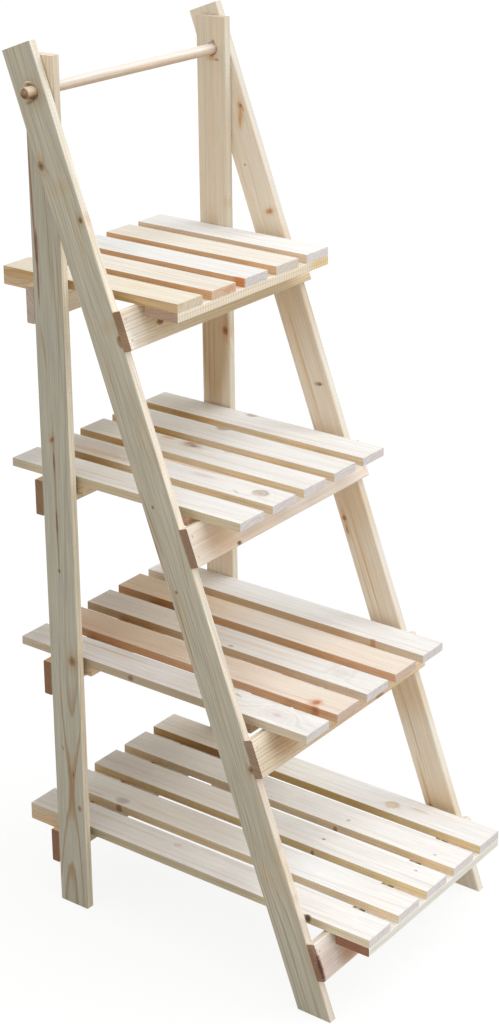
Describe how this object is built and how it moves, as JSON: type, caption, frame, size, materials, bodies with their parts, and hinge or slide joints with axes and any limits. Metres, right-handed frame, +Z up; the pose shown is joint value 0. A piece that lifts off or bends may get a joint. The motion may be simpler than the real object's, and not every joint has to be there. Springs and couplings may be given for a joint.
{
  "type": "folding plant ladder stand",
  "caption": "Folding wooden ladder stand for plants: lath frames crossed on a dowel, with loose slatted shelves that get deeper towards the floor.",
  "frame": {"origin": "on the floor, under the middle of the stand's bounding box", "axes": "+Z up; -Y is the front, where the leaning legs have their feet; +X is to the right seen from the front, along the dowel"},
  "size_m": [0.386, 0.5446, 1.1278],
  "materials": {
    "front_leg_wood": "planed, raw",
    "rear_leg_wood": "planed, raw",
    "dowel_wood": "turned, raw",
    "rail_wood": "planed, raw",
    "slat_wood": "planed, raw",
    "batten_wood": "planed, raw",
    "nail_steel": "bright wire"
  },
  "bodies": {
    "rear_frame": {"rear_leg_left": "rear_leg_wood", "rear_leg_right": "rear_leg_wood", "pivot_dowel": "dowel_wood", "rear_rail_1": "rail_wood", "rear_rail_2": "rail_wood", "rear_rail_3": "rail_wood", "rear_rail_4": "rail_wood", "rear_frame_nails": "nail_steel"},
    "front_frame": {"front_leg_left": "front_leg_wood", "front_leg_right": "front_leg_wood", "front_rail_1": "rail_wood", "front_rail_2": "rail_wood", "front_rail_3": "rail_wood", "front_rail_4": "rail_wood", "front_frame_nails": "nail_steel"},
    "shelf_1": {"shelf_1_slat_1": "slat_wood", "shelf_1_slat_2": "slat_wood", "shelf_1_slat_3": "slat_wood", "shelf_1_slat_4": "slat_wood", "shelf_1_slat_5": "slat_wood", "shelf_1_batten_front": "batten_wood", "shelf_1_batten_rear": "batten_wood", "shelf_1_nails": "nail_steel"},
    "shelf_2": {"shelf_2_slat_1": "slat_wood", "shelf_2_slat_2": "slat_wood", "shelf_2_slat_3": "slat_wood", "shelf_2_slat_4": "slat_wood", "shelf_2_slat_5": "slat_wood", "shelf_2_batten_front": "batten_wood", "shelf_2_batten_rear": "batten_wood", "shelf_2_nails": "nail_steel"},
    "shelf_3": {"shelf_3_slat_1": "slat_wood", "shelf_3_slat_2": "slat_wood", "shelf_3_slat_3": "slat_wood", "shelf_3_slat_4": "slat_wood", "shelf_3_slat_5": "slat_wood", "shelf_3_batten_front": "batten_wood", "shelf_3_batten_rear": "batten_wood", "shelf_3_nails": "nail_steel"},
    "shelf_4": {"shelf_4_slat_1": "slat_wood", "shelf_4_slat_2": "slat_wood", "shelf_4_slat_3": "slat_wood", "shelf_4_slat_4": "slat_wood", "shelf_4_slat_5": "slat_wood", "shelf_4_batten_front": "batten_wood", "shelf_4_batten_rear": "batten_wood", "shelf_4_nails": "nail_steel"}
  },
  "joints": [
    {"name": "frame_fold", "type": "hinge", "parent": "rear_frame", "child": "front_frame", "pos_m": [0, 0.18755, 1.07], "axis": [1, 0, 0], "range_deg": [0, 19]},
    {"name": "shelf_1_lift", "type": "slide", "parent": "rear_frame", "child": "shelf_1", "axis": [0, 0, 1], "range_m": [0, 0.136]},
    {"name": "shelf_2_lift", "type": "slide", "parent": "rear_frame", "child": "shelf_2", "axis": [0, 0, 1], "range_m": [0, 0.136]},
    {"name": "shelf_3_lift", "type": "slide", "parent": "rear_frame", "child": "shelf_3", "axis": [0, 0, 1], "range_m": [0, 0.136]},
    {"name": "shelf_4_lift", "type": "slide", "parent": "rear_frame", "child": "shelf_4", "axis": [0, 0, 1], "range_m": [0, 0.0995]}
  ],
  "couplings": [
    {"joint": "shelf_1_lift", "follows": "frame_fold", "m_per_rad": 0.41},
    {"joint": "shelf_2_lift", "follows": "frame_fold", "m_per_rad": 0.41},
    {"joint": "shelf_3_lift", "follows": "frame_fold", "m_per_rad": 0.41},
    {"joint": "shelf_4_lift", "follows": "frame_fold", "m_per_rad": 0.3}
  ]
}
